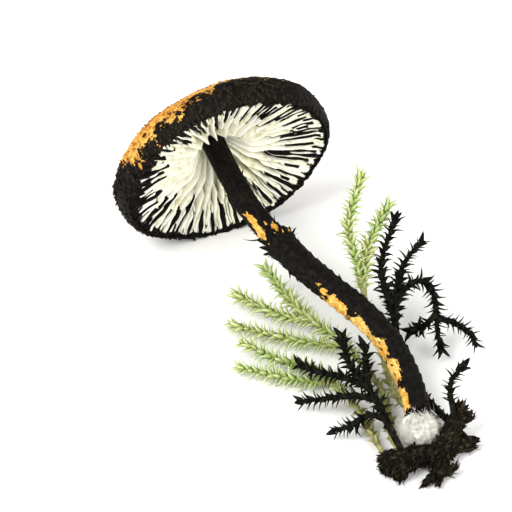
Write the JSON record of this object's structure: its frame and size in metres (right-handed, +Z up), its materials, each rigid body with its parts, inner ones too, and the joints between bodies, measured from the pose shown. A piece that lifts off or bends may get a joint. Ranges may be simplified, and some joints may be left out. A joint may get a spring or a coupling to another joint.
{
  "type": "gilled mushroom with moss at its foot",
  "caption": "Picked gilled mushroom with an inky, shaggy cap, lying on its side with its stem, white foot, dead moss clump and leafy moss shoots.",
  "frame": {"origin": "middle of the bounding box, on the surface that the mushroom lies on", "axes": "+X from the cap to the foot, +Z up"},
  "size_m": [0.1076, 0.0578, 0.0483],
  "materials": {
    "cap_flesh": "shaggy skin, inky at the margin, ochre at the crown",
    "gill_flesh": "matt, inky ends",
    "stem_flesh": "scaly, matt",
    "white_felt": "woolly",
    "dead_moss": "matted, matt",
    "dark_moss": "leafy, matt",
    "green_moss": "leafy, soft sheen"
  },
  "bodies": {
    "root": {"cap": "cap_flesh", "gills": "gill_flesh", "stem": "stem_flesh", "foot_felt": "white_felt", "dead_moss_clump": "dead_moss", "moss_dark_back": "dark_moss", "moss_dark_front": "dark_moss", "moss_dark_small": "dark_moss", "moss_green_back": "green_moss", "moss_green_upper": "green_moss", "moss_green_lower": "green_moss"}
  },
  "joints": []
}
